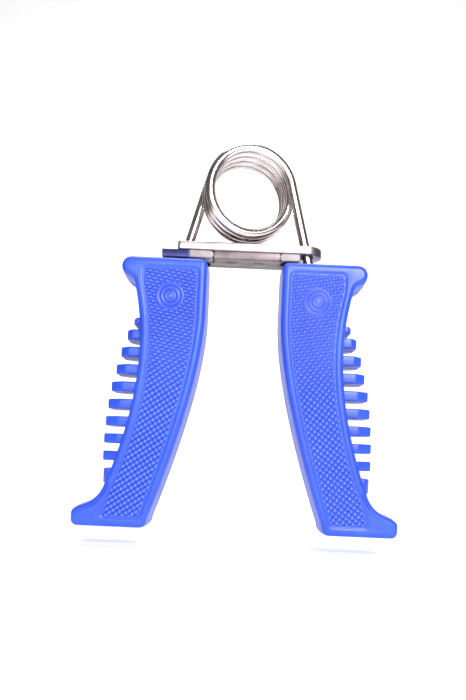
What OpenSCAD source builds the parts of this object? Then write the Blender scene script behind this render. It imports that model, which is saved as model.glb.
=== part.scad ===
// Hand grip strengthener: two moulded handles on the legs of a torsion spring,
// tied together by two slotted steel plates just above the handles.
// X is the width, Y the depth (front at -Y), Z is up. The handles stand on Z = 0.

/* [Spring] */
// Diameter of the spring wire
wire_d = 3.8; // [3:0.1:4.2]
// Mean radius of the coil
coil_r = 16.1; // [15.9:0.1:16.3]
// Height of the coil's centre, which is also the axis the handles swing about
coil_z = 132.8; // [132.4:0.2:134]
// Distance from one turn to the next
coil_pitch = 4.15; // [4.1:0.05:4.3]
// How far each leg leans outwards
leg_lean = 15.3; // [15:0.1:15.6]
// Turn of the coil about the vertical, which brings both legs to the handles' mid-depth
coil_yaw = 12; // [11.5:0.5:12.5]
// Height of the wire's end inside the handle
leg_end_z = 75; // [74:1:85]

/* [Handles] */
// Height of the handles
grip_h = 104.8; // [104:0.2:105]
// Depth of a handle, front to back
grip_depth = 22; // [20:1:24]
// Thickness of the smooth plate on the front and on the back
flange_t = 4.5; // [3.5:0.5:5]
// How far the body between the plates lies inside their outer edge
waist_inset = 2.5; // [1.5:0.5:3]
// Depth of the textured panel's recess
panel_recess = 0.5; // [0.3:0.1:0.8]
// Width of the smooth border round the panel
panel_border = 3.3; // [2.8:0.1:3.5]

/* [Finger ribs] */
// Height of the lowest rib's middle
rib_z0 = 27.7; // [27:0.1:28.5]
// Distance from one rib to the next
rib_pitch = 6.76; // [6.6:0.02:6.8]
// Thickness of a rib
rib_t = 3.7; // [3.2:0.1:4]
// Depth of a rib at its root, front to back
rib_depth = 15; // [13:1:17]

/* [Tie plates] */
// Thickness of the upper plate
upper_t = 3.2; // [2.5:0.1:3.2]
// Thickness of the lower plate
lower_t = 3; // [2.5:0.1:3]
// Depth of the upper plate, front to back
upper_depth = 13; // [12.6:0.2:14]
// Depth of the lower plate, front to back
lower_depth = 11.8; // [11.4:0.2:12.4]
// Height of the lower plate's underside
plate_z = 106; // [105.6:0.1:106.4]
// Width of the slots that the legs pass through
slot_w = 5.2; // [5:0.1:5.6]

/* [Hidden] */

$fn = 64;

steel = "#c9c5c6";
bright_steel = "#dedcdd";
pad_grey = "#e6e4e2";
blue = "#3f5bf5";

wire_r = wire_d / 2;
leg_gap = 0.1;           // between the coil's cut face and the leg's
seam_gap = 0.05;         // from the mid plane to each half of a handle
overlap = 0.5;           // how far joined shapes run into each other, and cuts run past a face

// ---- spring ----

// The wire leaves the coil where it is tangent to the leaning leg.
turn_from = leg_lean;
turn_to = 3 * 360 + 180 - leg_lean;
coil_len = coil_pitch * (turn_to - turn_from) / 360;
ring_step = 12;          // degrees of turn between two rings of the sweep
ring_sides = 12;
ring_count = ceil((turn_to - turn_from) / ring_step);
tangent_z = coil_z + coil_r * sin(leg_lean);
leg_len = (tangent_z - leg_end_z) / cos(leg_lean);

// Point i of the coil's centre line, as [turn angle, height along the coil's axis].
function coil_angle(i) = turn_from + (turn_to - turn_from) * i / ring_count;
function coil_y(i) = coil_len * (i / ring_count - 0.5);

// The rings of the sweep: each is a circle of the wire across the centre line.
function coil_points() = [
    for (i = [0 : ring_count], s = [0 : ring_sides - 1])
        let (a = coil_angle(i), b = 360 * s / ring_sides, r = coil_r + wire_r * cos(b))
        [r * cos(a), coil_y(i) + wire_r * sin(b), r * sin(a)]
];

function coil_faces() = concat(
    [[for (s = [0 : ring_sides - 1]) s]],
    [[for (s = [0 : ring_sides - 1]) (ring_count + 1) * ring_sides - 1 - s]],
    [for (i = [0 : ring_count - 1], s = [0 : ring_sides - 1])
        let (next = (s + 1) % ring_sides, low = i * ring_sides, high = low + ring_sides)
        [low + s, high + s, high + next, low + next]]
);

// The coil's own frame: turned about the vertical and lifted to the swing axis.
module at_coil() translate([0, 0, coil_z]) rotate([0, 0, coil_yaw]) children();

module spring_coil() color(steel) at_coil()
    polyhedron(coil_points(), coil_faces(), convexity = 8);

// A straight round bar down the right leg's line, from the coil into the handle.
module right_leg_bar(r, start, length) at_coil()
    translate([coil_r * cos(leg_lean), -coil_len / 2, coil_r * sin(leg_lean)])
    rotate([0, 180 - leg_lean, 0])
    translate([0, 0, start]) cylinder(r = r, h = length);

module spring_leg_right() color(steel) right_leg_bar(wire_r, leg_gap, leg_len - leg_gap);
module spring_leg_left() color(steel) rotate([0, 0, 180]) spring_leg_right();

// ---- tie plates ----

upper_z = plate_z + lower_t;
upper_left = -26.5;      // open end of the upper plate
upper_right = 30;        // round end of the upper plate
lower_left = -32.5;      // square end of the lower plate
lower_right = 21.2;      // open end of the lower plate
slot_in = 14;            // inner end of a leg's slot, from the middle
slot_out = 27.4;         // outer end of the left leg's slot in the lower plate, from the middle
upper_slot_out = 26.6;   // outer end of the right leg's slot in the upper plate
slot_y = -2.15;          // the right leg's place in the depth; the left leg's is +2.15
pad_gap = 0.05;          // round a glide pad, in the lower plate's front edge
pad_proud = 0.2;         // how far a pad stands out of the front edge
pad_in_left = 12.4;      // round inner end of the left pad, from the middle
pad_out_left = 22;       // square outer end of the left pad
pad_in_right = 13.4;
pad_out_right = lower_right;
corner_r = 1;
rivet_r = 1.5;
rivet_head_r = 2.6;
rivet_head_h = 0.8;
rivet_x = 5.5;

// A slot along X with two round ends, from x0 to x1.
module obround(x0, x1, w) {
    translate([x0 + w / 2, 0]) circle(d = w);
    notch(x0, x1 - w / 2, w);
    translate([x1 - w / 2, 0]) circle(d = w);
}

// A slot with a round inner end at x0 that runs out square to x1.
module notch(x0, x1, w) {
    translate([x0 + w / 2, 0]) circle(d = w);
    translate([x0 + w / 2, -w / 2]) square([x1 - x0 - w / 2, w]);
}

// A strip whose right end is a half circle and whose left corners are slightly round.
module round_ended_strip(x0, x1, depth) {
    r = depth / 2;
    translate([x1 - r, 0]) circle(r = r);
    translate([x0 + corner_r, -r]) square([x1 - r - x0 - corner_r, depth]);
    translate([x0, -r + corner_r]) square([2 * corner_r, depth - 2 * corner_r]);
    for (side = [-1, 1]) translate([x0 + corner_r, side * (r - corner_r)]) circle(r = corner_r);
}

module rivet_holes() for (side = [-1, 1]) translate([side * rivet_x, 0]) circle(r = rivet_r);

// The cones that the rivets' heads fill, in the outer face of a plate.
module rivet_sinks(z, up) for (side = [-1, 1])
    translate([side * rivet_x, 0, z]) mirror([0, 0, up ? 0 : 1])
    translate([0, 0, -rivet_head_h]) cylinder(r1 = rivet_r, r2 = rivet_head_r, h = rivet_head_h);

module upper_tie_plate() color(bright_steel) difference() {
    translate([0, 0, upper_z]) linear_extrude(upper_t) difference() {
        round_ended_strip(upper_left, upper_right, upper_depth);
        translate([0, slot_y]) obround(slot_in, upper_slot_out, slot_w);
        rotate(180) translate([0, slot_y]) notch(slot_in, slot_out + slot_w, slot_w);
        rivet_holes();
    }
    rivet_sinks(upper_z + upper_t, true);
}

// A glide pad's outline seen from the front, grown by a gap: round towards the middle.
module pad_outline(x0, x1, gap) translate([0, plate_z + lower_t / 2])
    notch(x0 - gap, x1 + gap, lower_t - (gap > 0 ? 0 : 2 * pad_gap));

module lower_tie_plate() color(steel) difference() {
    translate([0, 0, plate_z]) linear_extrude(lower_t) difference() {
        translate([lower_left, -lower_depth / 2]) square([lower_right - lower_left, lower_depth]);
        translate([0, slot_y]) notch(slot_in, lower_right + slot_w, slot_w);
        rotate(180) translate([0, slot_y]) obround(slot_in, slot_out, slot_w);
        rivet_holes();
    }
    rivet_sinks(plate_z, false);
    slab(-lower_depth / 2 - overlap, slot_y - slot_w / 2 + pad_gap)
        pad_outline(pad_in_right, pad_out_right + overlap, pad_gap);
    slab(-lower_depth / 2 - overlap, -slot_y - slot_w / 2 + pad_gap)
        mirror([1, 0]) pad_outline(pad_in_left, pad_out_left, pad_gap);
}

// The light pads form the front cheek of each leg's slot.
module right_glide_pad() color(pad_grey)
    slab(-lower_depth / 2 - pad_proud, slot_y - slot_w / 2) pad_outline(pad_in_right, pad_out_right, 0);
module left_glide_pad() color(pad_grey)
    slab(-lower_depth / 2 - pad_proud, -slot_y - slot_w / 2)
    mirror([1, 0]) pad_outline(pad_in_left, pad_out_left, 0);

module tie_plate_rivets() color(steel) for (side = [-1, 1]) translate([side * rivet_x, 0, plate_z]) {
    cylinder(r = rivet_r, h = lower_t + upper_t);
    cylinder(r1 = rivet_head_r, r2 = rivet_r, h = rivet_head_h);
    translate([0, 0, lower_t + upper_t - rivet_head_h])
        cylinder(r1 = rivet_r, r2 = rivet_head_r, h = rivet_head_h);
}

// ---- handles: the outline lies in the X-Z plane, and is that of the right handle ----

curve_steps = 14;        // pieces in each long curve
arc_steps = 6;           // pieces in each rounded corner
inner_x = 14.0;                   // inner edge of the handle at its top, from the middle
inner_curve = [[inner_x, 85], [13.8, 58], [33.2, 3.4]];
outer_curve = [[49.2, 21], [34.4, 62], [42.3, 93.8]];
foot_corner = [36.4, 3.3];        // centre of the rounding at the inner lower corner
foot_r = 3.3;
toe_r = 2.2;                      // roundings of the lower horn's tip
toe_low = [60.9, toe_r];
toe_high = [60.9, 5.8];
toe_hollow = [62.4, 20.6];        // centre of the hollow above the lower horn
toe_hollow_r = 12.2;
brow_r = 4.2;                     // rounding of the upper horn's tip
brow = [43.4, grip_h - brow_r];
brow_from = -75;                  // turn at which the horn runs into the hollow below it
neck_r = 3;                       // radius of that hollow
neck = brow + (brow_r + neck_r) * [cos(brow_from), sin(brow_from)];
top_corner_r = 1.5;

// A point t of the way along a quadratic curve through three control points.
function bezier(p, t) = (1 - t) * (1 - t) * p[0] + 2 * t * (1 - t) * p[1] + t * t * p[2];
function curve(p) = [for (i = [0 : curve_steps]) bezier(p, i / curve_steps)];
function arc(c, r, a0, a1, n = arc_steps) =
    [for (i = [0 : n]) let (a = a0 + (a1 - a0) * i / n) c + r * [cos(a), sin(a)]];
function shift(p, d) = [for (q = p) q + d];

// The whole outline; inset pulls its outer, hollow side in, between the horns.
function grip_outline(inset) = concat(
    arc([inner_x + top_corner_r, grip_h - top_corner_r], top_corner_r, 90, 180),
    curve(inner_curve),
    arc(foot_corner, foot_r, 198, 270),
    arc(toe_low, toe_r, 270, 360),
    arc(toe_high, toe_r, 0, 80),
    arc(toe_hollow, toe_hollow_r, 262, 187),
    shift(curve(outer_curve), [-inset, 0]),
    arc(neck, neck_r, 166, 180 + brow_from),
    arc(brow, brow_r, brow_from, 90)
);

panel_foot = [[36.8, panel_border], [51, panel_border], [49.6, 12]];   // the panel's lower end
panel_top_x = 39.5;               // outer corner of the panel's upper end

// The recessed panel: the same curves, moved in by the border.
function panel_outline() = concat(
    [[inner_x + panel_border, grip_h - panel_border]],
    shift(curve(inner_curve), [panel_border, 0]),
    panel_foot,
    shift(curve(outer_curve), [-panel_border, 0]),
    [[panel_top_x, grip_h - panel_border]]
);

rib_count = 8;
rib_tip = [44.9, 47, 48.6, 50.2, 51.2, 51.9, 52.3, 52.4];   // reach of each rib, top to bottom
rib_root = 30;           // where the ribs start, inside the handle
rib_edge = 39;           // the plates' edge, from which a rib's reach is counted
heel_edge = 48;          // the same edge at the heel
rib_end_depth = 9;       // depth of a rib's end
rib_flat = 0.6;          // share of a rib's reach that keeps its full depth
stub_z = 80.2;           // small stub above the top rib
stub_t = 2.4;
stub_tip = 42.4;
heel_z0 = 17;            // thick rib that runs into the lower horn
heel_z1 = 22.8;
heel_tip = 51.9;
peg_r = 2;               // moulded pegs that join the two halves
peg_len = 5;
peg_slack = 0.05;
peg_at = [[20, 97], [38, 96], [24, 60], [34, 40], [50, 7]];

// A flat outline in X-Z carried from y0 to y1.
module slab(y0, y1) translate([0, y1, 0]) rotate([90, 0, 0]) linear_extrude(y1 - y0) children();

// Half a rib, from the seam forwards: full depth at its root, bevelled back at its end.
module rib(z, t, tip, edge) {
    flat_end = edge + (tip - edge) * rib_flat;
    translate([0, 0, z - t / 2]) linear_extrude(t) polygon([
        [rib_root, -seam_gap], [rib_root, -rib_depth / 2], [flat_end, -rib_depth / 2],
        [tip, -rib_end_depth / 2], [tip, -seam_gap]
    ]);
}

// The front half of the right handle, without its pegs or sockets.
module front_shell() difference() {
    union() {
        slab(-grip_depth / 2, -grip_depth / 2 + flange_t) polygon(grip_outline(0));
        slab(-grip_depth / 2 + flange_t - overlap, -seam_gap) polygon(grip_outline(waist_inset));
        for (i = [0 : rib_count - 1])
            rib(rib_z0 + rib_pitch * (rib_count - 1 - i), rib_t, rib_tip[i], rib_edge);
        rib(stub_z, stub_t, stub_tip, rib_edge);
        rib((heel_z0 + heel_z1) / 2, heel_z1 - heel_z0, heel_tip, heel_edge);
    }
    slab(-grip_depth / 2 - overlap, -grip_depth / 2 + panel_recess) polygon(panel_outline());
}

module pegs(r, length) for (p = peg_at)
    translate([p.x, -peg_slack, p.y]) rotate([-90, 0, 0]) cylinder(r = r, h = length);

module leg_channel() right_leg_bar(wire_r + peg_slack, 0, leg_len + overlap);

module right_handle_front() color(blue) {
    difference() {
        front_shell();
        leg_channel();
    }
    pegs(peg_r, peg_len);
}

module right_handle_rear() color(blue) difference() {
    mirror([0, 1, 0]) front_shell();
    leg_channel();
    pegs(peg_r + peg_slack, peg_len + overlap);
}

// The left handle is the same moulding turned half round.
module left_handle_front() rotate([0, 0, 180]) right_handle_rear();
module left_handle_rear() rotate([0, 0, 180]) right_handle_front();

spring_coil();
spring_leg_left();
spring_leg_right();
upper_tie_plate();
lower_tie_plate();
left_glide_pad();
right_glide_pad();
tie_plate_rivets();
left_handle_front();
left_handle_rear();
right_handle_front();
right_handle_rear();
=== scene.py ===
"""Hand grip strengthener: moulded blue handles on a plated torsion spring with two slotted tie plates.

Shapes are in millimetres until put_mesh() scales them to metres. Materials, lights and the camera's place are
in metres. The frame is the CAD's: X across, front at -Y, Z up, feet on Z = 0.
"""

import math

import bmesh
import bpy
import numpy as np
from mathutils.geometry import tessellate_polygon
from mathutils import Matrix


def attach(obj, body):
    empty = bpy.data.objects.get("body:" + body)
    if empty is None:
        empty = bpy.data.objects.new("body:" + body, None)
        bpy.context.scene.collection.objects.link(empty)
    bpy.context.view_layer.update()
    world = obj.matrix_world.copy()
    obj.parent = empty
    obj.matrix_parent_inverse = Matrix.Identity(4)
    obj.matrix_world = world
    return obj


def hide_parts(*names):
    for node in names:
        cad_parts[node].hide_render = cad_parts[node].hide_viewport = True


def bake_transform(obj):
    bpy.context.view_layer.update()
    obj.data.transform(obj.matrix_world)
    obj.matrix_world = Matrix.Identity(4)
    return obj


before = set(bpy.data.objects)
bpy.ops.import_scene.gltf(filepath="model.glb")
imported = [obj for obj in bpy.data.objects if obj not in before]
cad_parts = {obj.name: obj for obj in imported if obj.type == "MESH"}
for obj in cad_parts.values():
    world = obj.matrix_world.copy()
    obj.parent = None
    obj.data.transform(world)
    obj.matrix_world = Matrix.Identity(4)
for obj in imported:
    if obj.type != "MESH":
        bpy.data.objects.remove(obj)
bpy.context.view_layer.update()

MM = 0.001

# ---- driving sizes, all in mm ----
GRIP_H = 104.8                 # height of a handle
HALF_DEPTH = 11.0              # a handle's half depth
SEAM = 0.005                   # from the mid plane to each half
INNER_X = 14.0                 # inner edge at the top of a handle
INNER_CURVE = ((14.0, 85.0), (13.8, 58.0), (33.2, 3.4))
OUTER_CURVE = ((49.2, 21.0), (34.4, 62.0), (42.3, 93.8))
TOE_X, TOE_R = 60.3, 2.8       # lower horn's tip
TOE_H = 8.0                    # height of the lower horn
HEEL_X, HEEL_R = 36.4, 3.3     # inner lower corner
INSTEP = (62.4, 20.6)          # middle of the hollow between the lower horn and the grip
INSTEP_R = 12.2
BROW_R, NECK_R, BROW_FROM = 4.2, 3.0, -75
BROW = (43.4, GRIP_H - BROW_R) # upper horn's tip
BROW_SPLIT = -20               # where the outline's outer stretch ends and its top begins
TOP_R = 2.6                    # inner upper corner
BORDER = 3.7                   # smooth border round the knurled panel
RECESS = 0.4                   # depth of the panel below the border
PANEL_LOW, PANEL_TOP = 4.2, 100.4
PANEL_FOOT_X = (54.8, 53.0)    # the panel's outer side, border included, at its foot and 12 mm up
PANEL_TOP_X = 42.2             # and at its top
PANEL_CORNER = 1.6
KNURL_ANGLE = 35.0             # slope of one family of grooves; the other is square to it
KNURL_PITCH = 1.74             # from one groove to the next
KNURL_H = 0.5                  # height of a lozenge
MEDAL = (28.2, 89.5)           # middle of the embossed rings
MEDAL_R = 5.6
EDGE_R = 1.9                   # rounding of the handle's long edges
DRAFT = 0.5                    # taper of the side walls
WAIST = 2.5                    # how far the body lies inside the plates, behind the ribs
FLANGE_H = 6.5                 # height over the mid plane at which the plate starts

WIRE_R = 1.87                  # 0.03 under the CAD wire, so the round coil stays inside its faceted box
COIL_R = 16.1
COIL_Z = 132.8
COIL_PITCH = 4.15
COIL_YAW = math.radians(12)
LEAN = math.radians(15.3)
LEG_END_Z = 75.0

PLATE_Z = 106.0                # underside of the lower plate
LOWER_T, UPPER_T = 3.0, 3.2
LOWER_X = (-32.5, 21.2)
UPPER_X = (-26.5, 30.0)
LOWER_Y, UPPER_Y = 5.9, 6.5    # half depths
SLOT_IN, SLOT_OUT, SLOT_OUT_LOW = 14.0, 26.6, 27.4
SLOT_Y, SLOT_R = 2.15, 2.6     # each slot's place in the depth, and half its width
PAD_LEFT = (-22.0, -12.4)
PAD_RIGHT = (13.4, 21.2)
PAD_PROUD = 0.2
RIVET_X, RIVET_R = 5.5, 2.6
UPPER_EDGE, LOWER_EDGE, PAD_EDGE = 0.45, 0.25, 0.4     # rounding of the plates and the pads
BLUE_REFLECTION_X = (-22.5, -19.5)       # where the lower plate's painted slate-blue reflection fades into plain steel
FLOOR_Z = -7.5                 # the feet swing down by about 7 mm at the limit of a squeeze


# ---- small helpers ----
def linear(hex_colour):
    """sRGB hex to linear RGBA: c/12.92 up to 0.04045, else ((c + 0.055) / 1.055) to the power 2.4."""
    c = np.array([int(hex_colour[i:i + 2], 16) / 255 for i in (1, 3, 5)])
    lin = np.where(c <= 0.04045, c / 12.92, ((c + 0.055) / 1.055) ** 2.4)
    return (*lin.tolist(), 1.0)


def smoothstep(x, low, high):
    """0 below low, 1 above high, and t*t*(3 - 2t) between."""
    t = np.clip((x - low) / (high - low), 0, 1)
    return t * t * (3 - 2 * t)


def put_mesh(name, verts, faces, material):
    """A new object from vertices in mm, at the origin, with its place in its mesh. The triangles that fill a
    plate's faces come in mixed directions, so every face is turned outwards here. Faces with more than 8
    corners are the flat ends and seams, and stay flat."""
    mesh = bpy.data.meshes.new(name)
    mesh.from_pydata((np.asarray(verts) * MM).tolist(), [], faces)
    work = bmesh.new()
    work.from_mesh(mesh)
    bmesh.ops.recalc_face_normals(work, faces=work.faces)
    work.to_mesh(mesh)
    work.free()
    mesh.polygons.foreach_set("use_smooth", [len(f) < 9 for f in faces])
    mesh.materials.append(material)
    mesh.update()
    obj = bpy.data.objects.new(name, mesh)
    bpy.context.collection.objects.link(obj)
    return obj


def grid_faces(rows, cols, start=0, wrap=False):
    """Quads of a grid of vertices stored row by row; wrap joins the last column to the first."""
    last = cols if wrap else cols - 1
    r, c = np.meshgrid(np.arange(rows - 1), np.arange(last), indexing="ij")
    n = (c + 1) % cols
    quads = np.stack([r * cols + c, r * cols + n, (r + 1) * cols + n, (r + 1) * cols + c], -1)
    return (quads.reshape(-1, 4) + start).tolist()


def bezier(points, count):
    """Quadratic curve: (1-t)^2 a + 2t(1-t) b + t^2 c."""
    a, b, c = (np.array(p) for p in points)
    t = np.linspace(0, 1, count)[:, None]
    return (1 - t) ** 2 * a + 2 * t * (1 - t) * b + t ** 2 * c


def arc(centre, radius, start, end, count=24):
    """Part of a circle, from angle start to angle end in degrees."""
    a = np.radians(np.linspace(start, end, count))
    return np.array(centre) + radius * np.stack([np.cos(a), np.sin(a)], 1)


def arc_length(points):
    """Distance along a polyline at each of its points: the running sum of its segments' lengths."""
    return np.concatenate([[0], np.cumsum(np.linalg.norm(np.diff(points, axis=0), axis=1))])


def along(points, at):
    """Points at the given distances along a polyline."""
    s = arc_length(points)
    return np.stack([np.interp(at, s, points[:, k]) for k in (0, 1)], 1)


def loop_normals(loop):
    """Inward unit normals of a closed loop that runs anticlockwise, from central differences."""
    t = np.roll(loop, -2, 0) - np.roll(loop, 2, 0)
    n = np.stack([-t[:, 1], t[:, 0]], 1)
    return n / np.linalg.norm(n, axis=1)[:, None]


def even_loop(loop, count):
    """The same closed loop with its points at even distances."""
    closed = np.vstack([loop, loop[:1]])
    return along(closed, np.linspace(0, arc_length(closed)[-1], count, endpoint=False))


def soften(loop, passes):
    """Each pass moves a point a quarter of the way to each neighbour."""
    for _ in range(passes):
        loop = 0.5 * loop + 0.25 * (np.roll(loop, 1, 0) + np.roll(loop, -1, 0))
    return loop


# ---- materials ----
def add(tree, kind, links=(), stops=(), **settings):
    """Adds a node, sets its attributes or its unlinked inputs, and links (input, source socket) pairs. An
    underscore in a setting stands for a space. stops are a colour ramp's (position, hex colour) pairs."""
    node = tree.nodes.new(kind)
    for k, (position, colour) in enumerate(stops):
        node.color_ramp.elements[k].position = position
        node.color_ramp.elements[k].color = linear(colour)
    for key, value in settings.items():
        if hasattr(node, key):
            setattr(node, key, value)
        else:
            node.inputs[key.replace("_", " ")].default_value = value
    for socket, source in links:
        tree.links.new(source, node.inputs[socket])
    return node


def new_material(name):
    """A material with its node tree, its shader and the object's own coordinates."""
    material = bpy.data.materials.new(name)
    material.use_nodes = True
    tree = material.node_tree
    shader = tree.nodes["Principled BSDF"]
    place = add(tree, "ShaderNodeTexCoord").outputs["Object"]
    return material, tree, shader, place


def handle_plastic():
    """Injection-moulded ABS, dyed through: an even blue, with painted shade down in the grooves and a painted
    highlight on the lozenges' tops, faint flow clouding 18 mm across, and a fine spark-eroded grain of 0.45
    mm."""
    material, tree, shader, place = new_material("blue_moulded_abs")
    cloud = add(tree, "ShaderNodeTexNoise", [("Vector", place)], Scale=1 / 0.018, Detail=3.0)
    fleck = add(tree, "ShaderNodeTexNoise", [("Vector", place)], Scale=1 / 0.0016, Detail=2.0)
    grain = add(tree, "ShaderNodeTexNoise", [("Vector", place)], Scale=1 / 0.00045, Detail=2.0)
    relief = add(tree, "ShaderNodeAttribute", attribute_name="relief").outputs["Fac"]
    base = add(tree, "ShaderNodeValToRGB", [("Fac", cloud.outputs["Fac"])],
               ((0.3, "#2A4ACC"), (0.7, "#3457DA"))).outputs["Color"]
    # Painted shade: a darker blue laid into the grooves, where the relief is low.
    groove_painted_shade = add(tree, "ShaderNodeValToRGB", [("Fac", fleck.outputs["Fac"])],
               ((0.3, "#0A1890"), (0.7, "#1022A8"))).outputs["Color"]
    # Painted highlight: a lighter blue laid on the lozenges' tops, where the relief is high.
    top_painted_highlight = add(tree, "ShaderNodeValToRGB", [("Fac", fleck.outputs["Fac"])],
               ((0.3, "#4A72F2"), (0.7, "#6590FA"))).outputs["Color"]
    share = add(tree, "ShaderNodeMapRange", [("Value", relief)], From_Min=0.08, From_Max=0.55)
    with_groove_shade = add(tree, "ShaderNodeMix", [(0, share.outputs["Result"]), (6, groove_painted_shade), (7, base)],
                 data_type="RGBA")
    top = add(tree, "ShaderNodeMapRange", [("Value", relief)], From_Min=0.62, From_Max=1.0)
    mix = add(tree, "ShaderNodeMix", [(0, top.outputs["Result"]), (6, with_groove_shade.outputs[2]), (7, top_painted_highlight)],
              data_type="RGBA")
    rough = add(tree, "ShaderNodeMapRange", [("Value", fleck.outputs["Fac"])], To_Min=0.28, To_Max=0.42)
    tree.links.new(mix.outputs[2], shader.inputs["Base Color"])
    tree.links.new(rough.outputs["Result"], shader.inputs["Roughness"])
    bump = add(tree, "ShaderNodeBump", [("Height", grain.outputs["Fac"])], Strength=0.12, Distance=0.00006)
    tree.links.new(bump.outputs["Normal"], shader.inputs["Normal"])
    shader.inputs["IOR"].default_value = 1.53
    shader.inputs["Specular IOR Level"].default_value = 0.35
    return material


def wire_steel():
    """Nickel-plated spring wire: bright, with faint lines left along it by the drawing die."""
    material, tree, shader, place = new_material("nickel_plated_wire")
    uv = add(tree, "ShaderNodeUVMap", uv_map="wire")
    # u runs along the wire and v round it, both in mm: lines 0.4 mm apart round, 30 mm long.
    stretch = add(tree, "ShaderNodeMapping", [("Vector", uv.outputs["UV"])], Scale=(1 / 30, 1 / 0.4, 1))
    lines = add(tree, "ShaderNodeTexNoise", [("Vector", stretch.outputs["Vector"])], Scale=1.0, Detail=3.0)
    haze = add(tree, "ShaderNodeTexNoise", [("Vector", place)], Scale=1 / 0.009, Detail=3.0)
    colour = add(tree, "ShaderNodeValToRGB", [("Fac", haze.outputs["Fac"])],
                 ((0.3, "#BFB0B0"), (0.7, "#EBE4E3")))
    rough = add(tree, "ShaderNodeMapRange", [("Value", lines.outputs["Fac"])], To_Min=0.1, To_Max=0.32)
    tree.links.new(colour.outputs["Color"], shader.inputs["Base Color"])
    tree.links.new(rough.outputs["Result"], shader.inputs["Roughness"])
    bump = add(tree, "ShaderNodeBump", [("Height", lines.outputs["Fac"])], Strength=0.2, Distance=0.00003)
    tree.links.new(bump.outputs["Normal"], shader.inputs["Normal"])
    shader.inputs["Metallic"].default_value = 1.0
    return material


def sheet_steel(name, dark, light, rough_low, rough_high, blue_reflection=False):
    """Plated steel strip, rolled and tumbled: fine rolling lines along X and a mottled brightness. The lower
    plate's copy has a painted slate-blue reflection of the blue handle at its left end."""
    material, tree, shader, place = new_material(name)
    stretch = add(tree, "ShaderNodeMapping", [("Vector", place)], Scale=(1 / 0.03, 1 / 0.0004, 1 / 0.0004))
    lines = add(tree, "ShaderNodeTexNoise", [("Vector", stretch.outputs["Vector"])], Scale=1.0, Detail=3.0)
    mottle = add(tree, "ShaderNodeTexNoise", [("Vector", place)], Scale=1 / 0.006, Detail=4.0)
    colour = add(tree, "ShaderNodeValToRGB", [("Fac", mottle.outputs["Fac"])],
                 ((0.3, dark), (0.7, light))).outputs["Color"]
    # Painted reflection: slate blue at the left end stands for the blue handle mirrored in the steel.
    if blue_reflection:
        x = add(tree, "ShaderNodeSeparateXYZ", [("Vector", place)]).outputs["X"]
        blue_reflection_share = add(tree, "ShaderNodeMapRange", [("Value", x)],
                   From_Min=BLUE_REFLECTION_X[0] * MM, From_Max=BLUE_REFLECTION_X[1] * MM)
        slate_reflection = add(tree, "ShaderNodeValToRGB", [("Fac", mottle.outputs["Fac"])],
                    ((0.3, "#2A2D50"), (0.7, "#3C3F6C"))).outputs["Color"]
        mix = add(tree, "ShaderNodeMix", [(0, blue_reflection_share.outputs["Result"]), (6, slate_reflection), (7, colour)],
                  data_type="RGBA")
        colour = mix.outputs[2]
    tree.links.new(colour, shader.inputs["Base Color"])
    rough = add(tree, "ShaderNodeMapRange", [("Value", lines.outputs["Fac"])],
                To_Min=rough_low, To_Max=rough_high)
    tree.links.new(rough.outputs["Result"], shader.inputs["Roughness"])
    bump = add(tree, "ShaderNodeBump", [("Height", lines.outputs["Fac"])], Strength=0.25, Distance=0.00003)
    tree.links.new(bump.outputs["Normal"], shader.inputs["Normal"])
    shader.inputs["Metallic"].default_value = 1.0
    return material


def pad_nylon():
    """Natural nylon, moulded: milky, slightly warm, soft sheen."""
    material, tree, shader, place = new_material("natural_nylon")
    cloud = add(tree, "ShaderNodeTexNoise", [("Vector", place)], Scale=1 / 0.003, Detail=3.0)
    colour = add(tree, "ShaderNodeValToRGB", [("Fac", cloud.outputs["Fac"])],
                 ((0.3, "#958A8B"), (0.7, "#A69C9E")))
    rough = add(tree, "ShaderNodeMapRange", [("Value", cloud.outputs["Fac"])], To_Min=0.35, To_Max=0.5)
    tree.links.new(colour.outputs["Color"], shader.inputs["Base Color"])
    tree.links.new(rough.outputs["Result"], shader.inputs["Roughness"])
    bump = add(tree, "ShaderNodeBump", [("Height", cloud.outputs["Fac"])], Strength=0.15, Distance=0.00005)
    tree.links.new(bump.outputs["Normal"], shader.inputs["Normal"])
    shader.inputs["IOR"].default_value = 1.53
    return material


def studio_white():
    """Matt white background paper, lit through from behind."""
    material, tree, shader, place = new_material("white_background_paper")
    fibre = add(tree, "ShaderNodeTexNoise", [("Vector", place)], Scale=1 / 0.02, Detail=2.0)
    colour = add(tree, "ShaderNodeValToRGB", [("Fac", fibre.outputs["Fac"])],
                 ((0.3, "#F6F6F6"), (0.7, "#FAFAFA")))
    tree.links.new(colour.outputs["Color"], shader.inputs["Base Color"])
    shader.inputs["Roughness"].default_value = 0.9
    shader.inputs["Emission Color"].default_value = linear("#FFFFFF")
    shader.inputs["Emission Strength"].default_value = 0.36
    return material


BLUE = handle_plastic()
WIRE = wire_steel()
BRIGHT = sheet_steel("bright_plated_strip", "#A99C9E", "#C4B8BA", 0.25, 0.45)
# Painted shade: a darker copy of the plate steel, for the lower plate lying in the upper plate's shadow; the
# rivet heads use it too.
SHADED_STEEL = sheet_steel("shaded_plated_strip", "#5C5254", "#766B6E", 0.22, 0.4, blue_reflection=True)
NYLON = pad_nylon()


# ---- handles ----
PANEL_COLS = 104
PANEL_ROWS = 400


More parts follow.
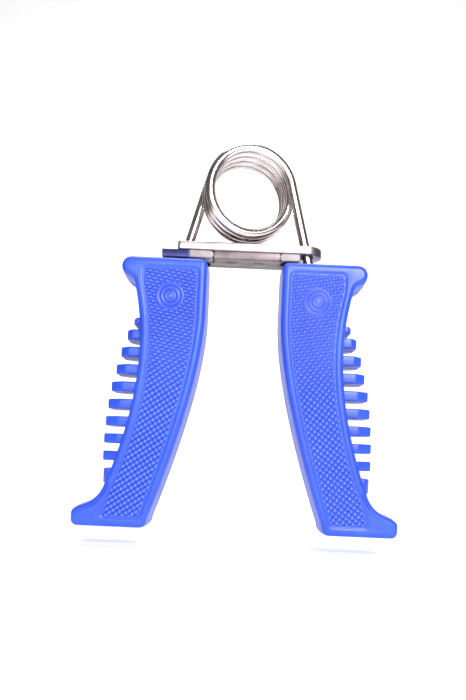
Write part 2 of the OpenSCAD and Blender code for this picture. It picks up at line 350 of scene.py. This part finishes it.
def panel_sides(z):
    """The panel's inner and outer edge at each height: the handle's curves, moved in by the border."""
    inner = bezier(INNER_CURVE, 200)
    outer = bezier(OUTER_CURVE, 200)
    low_x = np.interp(z, inner[::-1, 1], inner[::-1, 0]) + BORDER
    high_z = np.concatenate([[PANEL_LOW, 12.0], outer[:, 1], [PANEL_TOP]])
    high_x = np.concatenate([PANEL_FOOT_X, outer[:, 0], [PANEL_TOP_X]]) - BORDER
    high_x = np.interp(z, high_z, high_x)
    kernel = np.hanning(31)
    padded = np.pad(high_x, 15, mode="reflect", reflect_type="odd")
    high_x = np.convolve(padded, kernel / kernel.sum(), mode="valid")
    corner = PANEL_CORNER
    end = np.minimum(z - PANEL_LOW, PANEL_TOP - z)
    inset = np.where(end < corner, corner - np.sqrt(np.maximum(corner ** 2 - (corner - end) ** 2, 0)), 0)
    return low_x + inset, high_x - inset


def knurl(x, z):
    """Lozenges between two families of grooves square to each other: |sin a| * |sin b|, to a power that
    flattens their tops. Higher up they are mixed with rows, cos(a - b) ** 2 * (0.35 + 0.65 * the root of
    the lozenge), which draw them out. Three embossed rings round a small dome take their place in the
    medallion."""
    slope = math.radians(KNURL_ANGLE)
    a = np.pi * (x * math.sin(slope) + z * math.cos(slope)) / KNURL_PITCH
    b = np.pi * (x * math.cos(slope) - z * math.sin(slope)) / KNURL_PITCH
    lozenge = np.abs(np.sin(a) * np.sin(b)) ** 0.7
    drawn = 0.6 * smoothstep(z, 45, 80)
    row = np.cos(a - b) ** 2 * (0.35 + 0.65 * np.sqrt(lozenge))
    lozenge = (1 - drawn) * lozenge + drawn * row
    r = np.hypot(x - MEDAL[0], z - MEDAL[1])
    rings = 0.42 + 0.2 * np.cos(2 * np.pi * r / (MEDAL_R / 3.5))
    rings = np.where(r < 1.2, 0.7 * np.sqrt(np.maximum(1 - (r / 1.3) ** 2, 0)), rings)
    share = smoothstep(r, MEDAL_R - 0.4, MEDAL_R + 0.2)
    return share * lozenge + (1 - share) * rings


def grip_outline():
    """The right handle's outline, anticlockwise in X-Z, in four stretches that start at the inner lower
    corner: foot, outer side, top and inner side."""
    brow_top = np.array(BROW)
    start = np.radians(BROW_FROM)
    neck = brow_top + (BROW_R + NECK_R) * np.array((math.cos(start), math.sin(start)))
    foot = np.vstack([
        arc((HEEL_X, HEEL_R), HEEL_R, 235, 270, 12),
        arc((TOE_X, TOE_R), TOE_R, 270, 360, 20),
    ])
    outer = np.vstack([
        [(TOE_X + TOE_R, TOE_R)],
        arc((TOE_X, TOE_H - TOE_R), TOE_R, 0, 80, 16),
        arc(INSTEP, INSTEP_R, 262, 187, 40),
        bezier(OUTER_CURVE, 160),
        arc(neck, NECK_R, 166, 180 + BROW_FROM, 16),
        arc(BROW, BROW_R, BROW_FROM, BROW_SPLIT, 20),
    ])
    top = np.vstack([
        arc(BROW, BROW_R, BROW_SPLIT, 90, 30),
        arc((INNER_X + TOP_R, GRIP_H - TOP_R), TOP_R, 90, 135, 10),
    ])
    inner = np.vstack([
        arc((INNER_X + TOP_R, GRIP_H - TOP_R), TOP_R, 135, 180, 10),
        bezier(INNER_CURVE, 160),
        arc((HEEL_X, HEEL_R), HEEL_R, 198, 235, 12),
    ])
    return foot, outer, top, inner


def half_shell():
    """One half of the right handle, front side, as a closed surface.

    The panel is a grid: rows at even heights, columns from its inner to its outer edge, and its height over
    the mid plane is the knurl's. Rings run from the grid's own edge out to the handle's outline and down its
    side: each ring is the outline moved inwards by a distance, at a height over the mid plane, and those
    pairs follow the border, the rounded edge, the tapered wall, the plate's back edge and the seam."""
    z = np.linspace(PANEL_LOW, PANEL_TOP, PANEL_ROWS)
    left, right = panel_sides(z)
    u = np.linspace(0, 1, PANEL_COLS)[None, :]
    gx = left[:, None] * (1 - u) + right[:, None] * u
    gz = np.repeat(z[:, None], PANEL_COLS, 1)
    edge = np.minimum.reduce([gx - left[:, None], right[:, None] - gx, gz - PANEL_LOW, PANEL_TOP - gz])
    relief = knurl(gx, gz)
    fade = smoothstep(edge, 0.0, 1.2)
    gh = HALF_DEPTH - RECESS + (KNURL_H * relief - 0.1) * fade
    grid = np.stack([gx, gz, gh], -1).reshape(-1, 3)

    index = np.arange(PANEL_ROWS * PANEL_COLS).reshape(PANEL_ROWS, PANEL_COLS)
    rim = np.concatenate([index[0, :-1], index[:-1, -1], index[-1, :0:-1], index[:0:-1, 0]])
    rim_xy = grid[rim, :2]

    foot, outer, top, inner = grip_outline()
    stretches = []
    for points, count in ((foot, PANEL_COLS - 1), (top, PANEL_COLS - 1), (inner, PANEL_ROWS - 1)):
        s = arc_length(points)
        stretches.append(along(points, np.linspace(0, s[-1], count, endpoint=False)))
    # Heights on the panel's edge, and the outline heights they are joined to; the toe, the neck and the
    # horn go by distance, because the outline hardly climbs there.
    far = arc_length(outer)
    toe_end, neck_end = 17, len(outer) - 20
    rise = outer[toe_end:neck_end - 16]
    keys = (12.0, 20.5, 40.0, 60.0, 80.0, 93.0)
    joined = np.interp(keys, rise[:, 1], far[toe_end:neck_end - 16])
    at = np.interp(z[:-1], (PANEL_LOW, 8.8, 12.5, 19.5, 40.0, 60.0, 80.0, 92.5, 97.6, PANEL_TOP),
                   (0, far[toe_end], *joined, far[neck_end], far[-1]))
    side = along(outer, at)
    outline = soften(np.vstack([stretches[0], side, stretches[1], stretches[2]]), 6)
    inward = loop_normals(outline)
    rim_in = loop_normals(soften(rim_xy, 8))

    on_outer = np.zeros(len(outline))
    on_outer[PANEL_COLS - 1:PANEL_COLS + PANEL_ROWS - 2] = 1
    height = outline[:, 1]
    waist = WAIST * on_outer * smoothstep(height, 21, 25) * (1 - smoothstep(height, 86, 92))

    rings = []

    def ring(loop, h):
        rings.append(np.column_stack([loop, np.full(len(loop), h)]))

    for d in (0.2, 0.45, 0.7, 1.0):
        ring(rim_xy - d * rim_in, HALF_DEPTH - RECESS * (1 - smoothstep(d, -0.3, 1.0)))
    for phi in np.radians(np.linspace(90, 0, 9)):
        d = DRAFT + EDGE_R * (1 - math.cos(phi))
        ring(outline + d * inward, HALF_DEPTH - EDGE_R + EDGE_R * math.sin(phi))
    for share_in, h in ((0, FLANGE_H + 0.7), (0.08, FLANGE_H + 0.2), (0.3, FLANGE_H), (0.9, FLANGE_H - 0.1),
                        (1, FLANGE_H - 0.4)):
        d = DRAFT * max(0.0, (h - 1) / HALF_DEPTH) + share_in * waist
        ring(outline + d[:, None] * inward, h)
    for d, h in ((0.02, 0.45), (0.1, 0.2), (0.28, SEAM)):
        ring(outline + (d + waist)[:, None] * inward, h)

    loops = np.concatenate(rings)
    start = len(grid)
    n = len(rim)
    faces = grid_faces(PANEL_ROWS, PANEL_COLS)
    first = np.arange(n)
    following = (first + 1) % n
    faces += np.stack([rim[following], rim[first], start + first, start + following], -1).tolist()
    faces += [quad[::-1] for quad in grid_faces(len(rings), n, start, wrap=True)]
    cap = (start + (len(rings) - 1) * n + np.arange(n)).tolist()
    faces.append(cap[::-1])
    # Relief for the material's painted groove shade and painted lozenge highlight: held at 0.55 near the
    # panel's edge and off it, where neither shows.
    shade_relief = np.concatenate([(0.55 * (1 - fade) + relief * fade).ravel(), np.full(len(loops), 0.55)])
    return np.concatenate([grid, loops]), faces, shade_relief


def rounded_slab(plans, middle, thickness, edge):
    """A flat plate with quarter-round edges. plans are closed loops, the outline anticlockwise and any holes
    clockwise. Each ring is a loop moved into the material by edge * (1 - sin phi), at
    middle +- (half thickness - edge * (1 - cos phi)); the last column of the result is that height. The two
    faces are filled with triangles between the loops, all turned the way that their whole area asks for."""
    phi = np.radians(np.linspace(0, 90, 5))
    inset = np.concatenate([edge * (1 - np.sin(phi)), edge * (1 - np.sin(phi[::-1]))])
    rise = thickness / 2 - edge * (1 - np.cos(phi))
    height = middle + np.concatenate([-rise, rise[::-1]])
    verts, faces, first, last = [], [], [], []
    start = 0
    for plan in plans:
        n = len(plan)
        rings = plan[None] + inset[:, None, None] * loop_normals(plan)[None]
        level = np.repeat(height, n)[:, None]
        verts.append(np.hstack([rings.reshape(-1, 2), level]))
        faces += grid_faces(len(height), n, start, wrap=True)
        first.append(np.arange(start, start + n))
        last.append(np.arange(start + (len(height) - 1) * n, start + len(height) * n))
        start += len(height) * n
    verts = np.concatenate(verts)
    for ids, turn in ((first, 1), (last, -1)):
        flat = np.concatenate(ids)
        loops = [[(*point, 0.0) for point in verts[k][:, :2].tolist()] for k in ids]
        corner = flat[np.array(tessellate_polygon(loops))]
        u = verts[corner[:, 1]] - verts[corner[:, 0]]
        v = verts[corner[:, 2]] - verts[corner[:, 0]]
        up = (u[:, 0] * v[:, 1] - u[:, 1] * v[:, 0]).sum()
        faces += (corner[:, ::-1] if up * turn > 0 else corner).tolist()
    return verts, faces


def add_relief(obj, shade_relief):
    """Writes the attribute "relief", 0 at the bottom of a groove and 1 on top of a lozenge."""
    # The blue material turns low relief into painted shade in the grooves and high relief into a painted
    # highlight on the lozenge tops.
    layer = obj.data.attributes.new("relief", "FLOAT", "POINT")
    layer.data.foreach_set("value", shade_relief)


def rounded_polygon(corners):
    """A closed polygon from (x, y, radius) corners, each corner a quadratic curve between its tangent
    points."""
    out = []
    count = len(corners)
    for i, (x, y, r) in enumerate(corners):
        here = np.array((x, y))
        before = np.array(corners[i - 1][:2])
        after = np.array(corners[(i + 1) % count][:2])
        a = here + (before - here) / np.linalg.norm(before - here) * r
        b = here + (after - here) / np.linalg.norm(after - here) * r
        out.append(bezier((a, here, b), 7))
    return even_loop(np.vstack(out), 72)


RIB_TIPS = (44.9, 47.0, 48.6, 50.2, 51.2, 51.9, 52.3, 52.4)
RIB_Z0, RIB_PITCH, RIB_T = 27.7, 6.76, 3.7
RIB_ROOT, RIB_DEPTH, RIB_END = 31.0, 7.5, 4.5
RIB_EDGE = 39.0                # where a rib leaves the handle's side
# Height, thickness, tip, edge and corner of the small rib at the top and of the thick one over the toe.
SMALL_RIB = (80.2, 2.4, 42.4, RIB_EDGE, 0.6)
HEEL_RIB = (19.9, 5.8, 51.9, 48.0, 0.8)


def ribs():
    """The finger ribs of one half: rounded slabs, wide and flat at the front and bevelled back at their
    ends."""
    rows = [(RIB_Z0 + RIB_PITCH * (7 - i), RIB_T, tip, RIB_EDGE, 1.4 if i == 0 else 0.8)
            for i, tip in enumerate(RIB_TIPS)]
    rows += [SMALL_RIB, HEEL_RIB]
    verts, faces = [], []
    for z, thickness, tip, edge_x, corner in rows:
        flat_end = edge_x + (tip - edge_x) * 0.6
        plan = rounded_polygon((
            (RIB_ROOT, SEAM, 0.2), (tip, SEAM, 0.3), (tip, RIB_END, corner),
            (flat_end, RIB_DEPTH, 0.35), (RIB_ROOT, RIB_DEPTH, 0.3)))
        v, f = rounded_slab([plan], z, thickness, 0.5)
        start = sum(len(k) for k in verts)
        faces += [[i + start for i in face[::-1]] for face in f]
        verts.append(v[:, [0, 2, 1]])
    return np.concatenate(verts), faces


def build_handles():
    """The four halves are one surface, mirrored across the middle of the object and across the seam."""
    shell_v, shell_f, shade_relief = half_shell()
    rib_v, rib_f = ribs()
    shade_relief = np.concatenate([shade_relief, np.full(len(rib_v), 0.55)])
    local = np.concatenate([shell_v, rib_v])
    faces = shell_f + [[i + len(shell_v) for i in face] for face in rib_f]
    for side, sx in (("left", -1), ("right", 1)):
        for half, sy in (("front", -1), ("rear", 1)):
            verts = np.column_stack([sx * local[:, 0], sy * local[:, 2], local[:, 1]])
            turned = faces if sx * sy < 0 else [face[::-1] for face in faces]
            name = f"{side}_handle_{half}_shell"
            obj = put_mesh(name, verts, turned, BLUE)
            add_relief(obj, shade_relief)
            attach(obj, f"{side}_grip")
            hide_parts(f"{side}_handle_{half}")


# ---- spring ----
def turn_coil(points):
    """From the coil's own frame to the object's: turned about the vertical, then lifted."""
    x, y, z = points.T
    c, s = math.cos(COIL_YAW), math.sin(COIL_YAW)
    return np.column_stack([x * c - y * s, x * s + y * c, z + COIL_Z])


TURN_FROM = LEAN
TURN_TO = 7 * math.pi - LEAN
COIL_LEN = COIL_PITCH * (TURN_TO - TURN_FROM) / (2 * math.pi)


def half_wire():
    """Centre line of the front half of the spring, in the coil's frame, from the coil's middle turn to the
    right leg's lower end: a helix (R cos a, pitch * a / 2 pi, R sin a), then the straight tangent."""
    middle = (TURN_FROM + TURN_TO) / 2
    a = np.linspace(middle, TURN_FROM, 210)
    y = -COIL_LEN / 2 + COIL_LEN * (a - TURN_FROM) / (TURN_TO - TURN_FROM)
    coil = np.column_stack([COIL_R * np.cos(a), y, COIL_R * np.sin(a)])
    drop = COIL_Z + coil[-1, 2] - LEG_END_Z
    length = drop / math.cos(LEAN)
    step = np.linspace(0, length, 60)[1:, None]
    leg = coil[-1] + step * np.array((math.sin(LEAN), 0, -math.cos(LEAN)))
    return np.vstack([coil, leg])


def tube(path, radius, sides=28):
    """A round tube: at each point of the path a circle across its direction, spanned by the coil's own axis
    and the direction's cross product with it, closed by a flat face at each end."""
    tangent = np.gradient(path, axis=0)
    tangent /= np.linalg.norm(tangent, axis=1)[:, None]
    axis = np.array((0.0, 1.0, 0.0))
    side = axis - (tangent @ axis)[:, None] * tangent
    side /= np.linalg.norm(side, axis=1)[:, None]
    other = np.cross(tangent, side)
    b = np.linspace(0, 2 * np.pi, sides, endpoint=False)
    ring = np.cos(b)[None, :, None] * side[:, None] + np.sin(b)[None, :, None] * other[:, None]
    verts = (path[:, None] + radius * ring).reshape(-1, 3)
    faces = grid_faces(len(path), sides, 0, wrap=True)
    faces.append(list(range(sides))[::-1])
    faces.append([(len(path) - 1) * sides + i for i in range(sides)])
    distance = np.concatenate([[0], np.cumsum(np.linalg.norm(np.diff(path, axis=0), axis=1))])
    uv = np.column_stack([np.repeat(distance, sides), np.tile(radius * b, len(path))])
    return verts, faces, uv


def wire_uv(obj, uv):
    """Writes the map "wire": millimetres along the wire and round it, one pair for each face corner."""
    layer = obj.data.uv_layers.new(name="wire")
    corner = np.empty(len(obj.data.loops), dtype=np.int32)
    obj.data.loops.foreach_get("vertex_index", corner)
    layer.data.foreach_set("uv", uv[corner].ravel())


def build_spring():
    """Two tubes that meet in the coil's middle turn. The rear one is the front one turned half round."""
    verts, faces, uv = tube(half_wire(), WIRE_R)
    placed = turn_coil(verts)
    for side, way in (("right", 1), ("left", -1)):
        points = placed * np.array((way, way, 1))
        obj = put_mesh(f"spring_wire_{side}", points, faces, WIRE)
        wire_uv(obj, uv)
        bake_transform(obj)
        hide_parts(*(("spring_coil",) if way > 0 else ()), f"spring_leg_{side}")


# ---- tie plates ----
def upper_outline():
    """The upper plate: half a circle at its right end, and a notch cut in from its left end."""
    x0, x1 = UPPER_X
    c = 1.0
    notch_x = -SLOT_IN - SLOT_R
    return np.vstack([
        arc((x0 + c, c - UPPER_Y), c, 180, 270, 6),
        arc((x1 - UPPER_Y, 0), UPPER_Y, -90, 90, 40),
        arc((x0 + c, UPPER_Y - c), c, 90, 180, 6),
        [(x0, SLOT_Y + SLOT_R)],
        arc((notch_x, SLOT_Y), SLOT_R, 90, -90, 24),
        [(x0, SLOT_Y - SLOT_R)],
    ])


def lower_outline():
    """The lower plate: a notch cut in from its right end, and two pockets for the pads in its front edge."""
    x0, x1 = LOWER_X
    gap = 0.05
    notch_x = SLOT_IN + SLOT_R
    back = SLOT_Y - SLOT_R + gap
    cheek = -SLOT_Y - SLOT_R
    return np.vstack([
        [(x0, -LOWER_Y), (PAD_LEFT[0] - gap, -LOWER_Y), (PAD_LEFT[0] - gap, back)],
        [(PAD_LEFT[1] + gap, back), (PAD_LEFT[1] + gap, -LOWER_Y)],
        [(PAD_RIGHT[0] - gap, -LOWER_Y), (PAD_RIGHT[0] - gap, cheek)],
        arc((notch_x, -SLOT_Y), SLOT_R, 270, 90, 24),
        [(x1, SLOT_R - SLOT_Y), (x1, LOWER_Y), (x0, LOWER_Y)],
    ])


def slot(x0, x1, y):
    """A closed slot with two round ends, clockwise."""
    return np.vstack([
        arc((x0 + SLOT_R, y), SLOT_R, 270, 90, 24),
        arc((x1 - SLOT_R, y), SLOT_R, 90, -90, 24),
    ])


def pad_outline(x0, x1, way):
    """A pad seen from the front, in X-Z, anticlockwise: a round end towards the middle of the object."""
    r = (LOWER_T - 0.1) / 2
    z = PLATE_Z + LOWER_T / 2
    if way > 0:
        return np.vstack([[(x0, z + r), (x0, z - r)], arc((x1 - r, z), r, -90, 90, 24)])
    return np.vstack([[(x1, z - r), (x1, z + r)], arc((x0 + r, z), r, 90, 270, 24)])


def rivet_head(x, z, way):
    """A low dome of radius RIVET_R: height = 0.35 * (1 - (r / R) ** 2), turned about its own middle."""
    rows, sides = 8, 40
    share = np.linspace(1, 0.02, rows)[:, None]
    a = np.linspace(0, 2 * np.pi, sides, endpoint=False)[None]
    px = x + RIVET_R * share * np.cos(a)
    py = way * RIVET_R * share * np.sin(a)
    pz = z + way * 0.35 * (1 - share ** 2) * np.ones_like(a)
    verts = np.stack([px, py, pz], -1).reshape(-1, 3)
    skirt = verts[:sides] - (0, 0, way * 0.3)
    verts = np.concatenate([skirt, verts])
    faces = grid_faces(rows + 1, sides, 0, wrap=True)
    faces.append([rows * sides + i for i in range(sides)])
    faces.append(list(range(sides))[::-1])
    return verts, faces


def build_plates():
    """Plates lie in X-Y with their thickness up; the pads lie in X-Z with their thickness front to back."""
    seam_z = PLATE_Z + LOWER_T
    upper = [even_loop(upper_outline(), 640),
             even_loop(slot(SLOT_IN, SLOT_OUT, -SLOT_Y), 120)]
    lower = [even_loop(lower_outline(), 760),
             even_loop(slot(-SLOT_OUT_LOW, -SLOT_IN, SLOT_Y), 120)]
    pads = (("left_glide_pad", pad_outline(*PAD_LEFT, 1), SLOT_Y - SLOT_R),
            ("right_glide_pad", pad_outline(*PAD_RIGHT, -1), -SLOT_Y - SLOT_R))
    made = []
    v, f = rounded_slab(upper, seam_z + UPPER_T / 2, UPPER_T, UPPER_EDGE)
    made.append((put_mesh("upper_plate", v, f, BRIGHT), "upper_tie_plate", "plate_steel"))
    v, f = rounded_slab(lower, PLATE_Z + LOWER_T / 2, LOWER_T, LOWER_EDGE)
    made.append((put_mesh("lower_plate", v, f, SHADED_STEEL), "lower_tie_plate", "plate_steel"))
    for node, plan, rear in pads:
        front = -LOWER_Y - PAD_PROUD
        v, f = rounded_slab([even_loop(plan, 160)], (front + rear) / 2, rear - front, PAD_EDGE)
        turned = [face[::-1] for face in f]
        pad = put_mesh(node.replace("glide", "nylon"), v[:, [0, 2, 1]], turned, NYLON)
        made.append((pad, node, "pad_plastic"))
    verts, faces = [], []
    for x in (-RIVET_X, RIVET_X):
        for z, way in ((seam_z + UPPER_T, 1), (PLATE_Z, -1)):
            v, f = rivet_head(x, z, way)
            start = sum(len(k) for k in verts)
            faces += [[i + start for i in face] for face in f]
            verts.append(v)
    heads = put_mesh("rivet_heads", np.concatenate(verts), faces, SHADED_STEEL)
    made.append((heads, "tie_plate_rivets", "plate_steel"))
    for obj, node, slot_name in made:
        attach(obj, "tie")
        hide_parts(node)


build_handles()
build_spring()
build_plates()


# ---- stage, lights and camera ----
def studio():
    """A white sweep: floor, quarter round and wall in one surface, carried along X."""
    front, back, half_width, radius, top = -450.0, 400.0, 480.0, 200.0, 1000.0
    bend = arc((back, FLOOR_Z + radius), radius, -90, 0, 24)
    profile = np.vstack([[(front, FLOOR_Z)], bend, [(back + radius, top)]])
    across = np.tile((-half_width, half_width), len(profile))
    verts = np.column_stack([across, np.repeat(profile, 2, axis=0)])
    faces = grid_faces(len(profile), 2)
    obj = put_mesh("studio_sweep", verts, faces, studio_white())


def area_light(name, place, target, size, power):
    """A round soft light at place that shines towards target: metres across, and watts."""
    light = bpy.data.lights.new(name, "AREA")
    light.shape = "DISK"
    light.size = size
    light.energy = power
    obj = bpy.data.objects.new(name, light)
    obj.location = place
    direction = np.array(place) - np.array(target)
    yaw = math.atan2(direction[0], -direction[1])
    pitch = math.atan2(math.hypot(direction[0], direction[1]), direction[2])
    obj.rotation_euler = (pitch, 0, yaw)
    bpy.context.collection.objects.link(obj)


def camera():
    """A close, level camera 30 mm above the feet, with its frame shifted upwards. The lens takes in
    view_height of the plane through the handles' front faces."""
    data = bpy.data.cameras.new("camera")
    distance = 229.0
    view_height = 266.0
    data.sensor_width = 36.0
    data.lens = distance / view_height * data.sensor_width
    data.shift_x = -0.0057
    data.shift_y = 0.150
    data.clip_start = 0.01
    obj = bpy.data.objects.new("camera", data)
    obj.location = (0, -(HALF_DEPTH + distance) * MM, 0.030)
    obj.rotation_euler = (math.radians(90), math.radians(-2.5), 0)
    bpy.context.collection.objects.link(obj)
    bpy.context.scene.camera = obj


def room():
    """Dim, even white all round, which fills the shadows."""
    world = bpy.data.worlds.new("studio_air")
    world.use_nodes = True
    air = world.node_tree.nodes["Background"]
    air.inputs["Color"].default_value = linear("#FFFFFF")
    air.inputs["Strength"].default_value = 0.14
    bpy.context.scene.world = world
    bpy.context.scene.view_settings.view_transform = "Standard"


studio()
camera()
room()
area_light("key", (0.22, -0.72, 0.40), (0, 0, 0.06), 0.26, 6.0)
area_light("low_right", (0.23, -0.8, 0.16), (0.05, 0, 0.06), 0.14, 1.2)
area_light("low_left", (-0.17, -0.75, 0.2), (-0.04, 0, 0.06), 0.14, 0.9)
area_light("front", (-0.05, -0.95, 0.1), (0, 0, 0.07), 0.8, 1.4)
area_light("top", (-0.05, 0.05, 0.75), (0, 0, 0.12), 0.35, 2.4)
